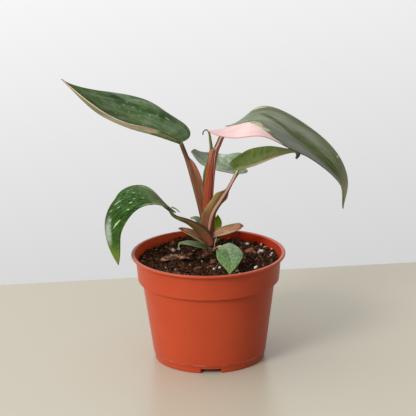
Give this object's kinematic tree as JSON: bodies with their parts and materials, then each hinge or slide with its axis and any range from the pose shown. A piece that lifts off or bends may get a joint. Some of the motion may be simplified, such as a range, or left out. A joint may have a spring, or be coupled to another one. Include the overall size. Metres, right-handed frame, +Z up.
{
  "type": "pink variegated philodendron in a nursery pot",
  "caption": "Young philodendron with pink, cream and green variegated leaves on winged stalks, in a round terracotta-coloured plastic nursery pot filled with potting mix.",
  "frame": {"origin": "on the pot's axis at the ground, under the middle of the whole plant and pot", "axes": "+Z up along the pot's axis, +X to the plant's right as seen from its front, +Y to its back"},
  "size_m": [0.1992, 0.1084, 0.2026],
  "materials": {
    "pot_plastic": "satin",
    "potting_mix": "matte",
    "bark": "matte",
    "stem": "satin",
    "stalk_brown": "satin",
    "stalk_red": "satin",
    "stalk_tan": "satin",
    "stalk_olive": "satin",
    "leaf_pink_edge": "satin",
    "leaf_pink_half": "satin",
    "leaf_green": "satin",
    "leaf_flecked": "satin",
    "leaf_grey_green": "satin",
    "scale_leaf": "satin",
    "leaf_young": "satin"
  },
  "bodies": {
    "root": {"nursery_pot": "pot_plastic", "potting_soil": "potting_mix", "bark_chunk": "bark", "crown_stem": "stem", "upper_left_leaf_stalk": "stalk_brown", "upper_right_leaf_stalk": "stalk_red", "middle_right_leaf_stalk": "stalk_tan", "lower_left_leaf_stalk": "stalk_olive", "back_leaf_stalk": "stalk_olive", "front_small_leaf_stalk": "stalk_tan", "new_leaf_spike": "stalk_olive", "upper_left_leaf_blade": "leaf_pink_edge", "upper_right_leaf_blade": "leaf_pink_half", "middle_right_leaf_blade": "leaf_green", "lower_left_leaf_blade": "leaf_flecked", "back_leaf_blade": "leaf_grey_green", "front_small_leaf_blade": "leaf_green", "scale_leaf_left": "scale_leaf", "scale_leaf_right": "scale_leaf", "soil_leaf_left": "leaf_green", "small_leaf_back_right": "leaf_young", "small_leaf_back_left": "leaf_grey_green"}
  },
  "joints": []
}
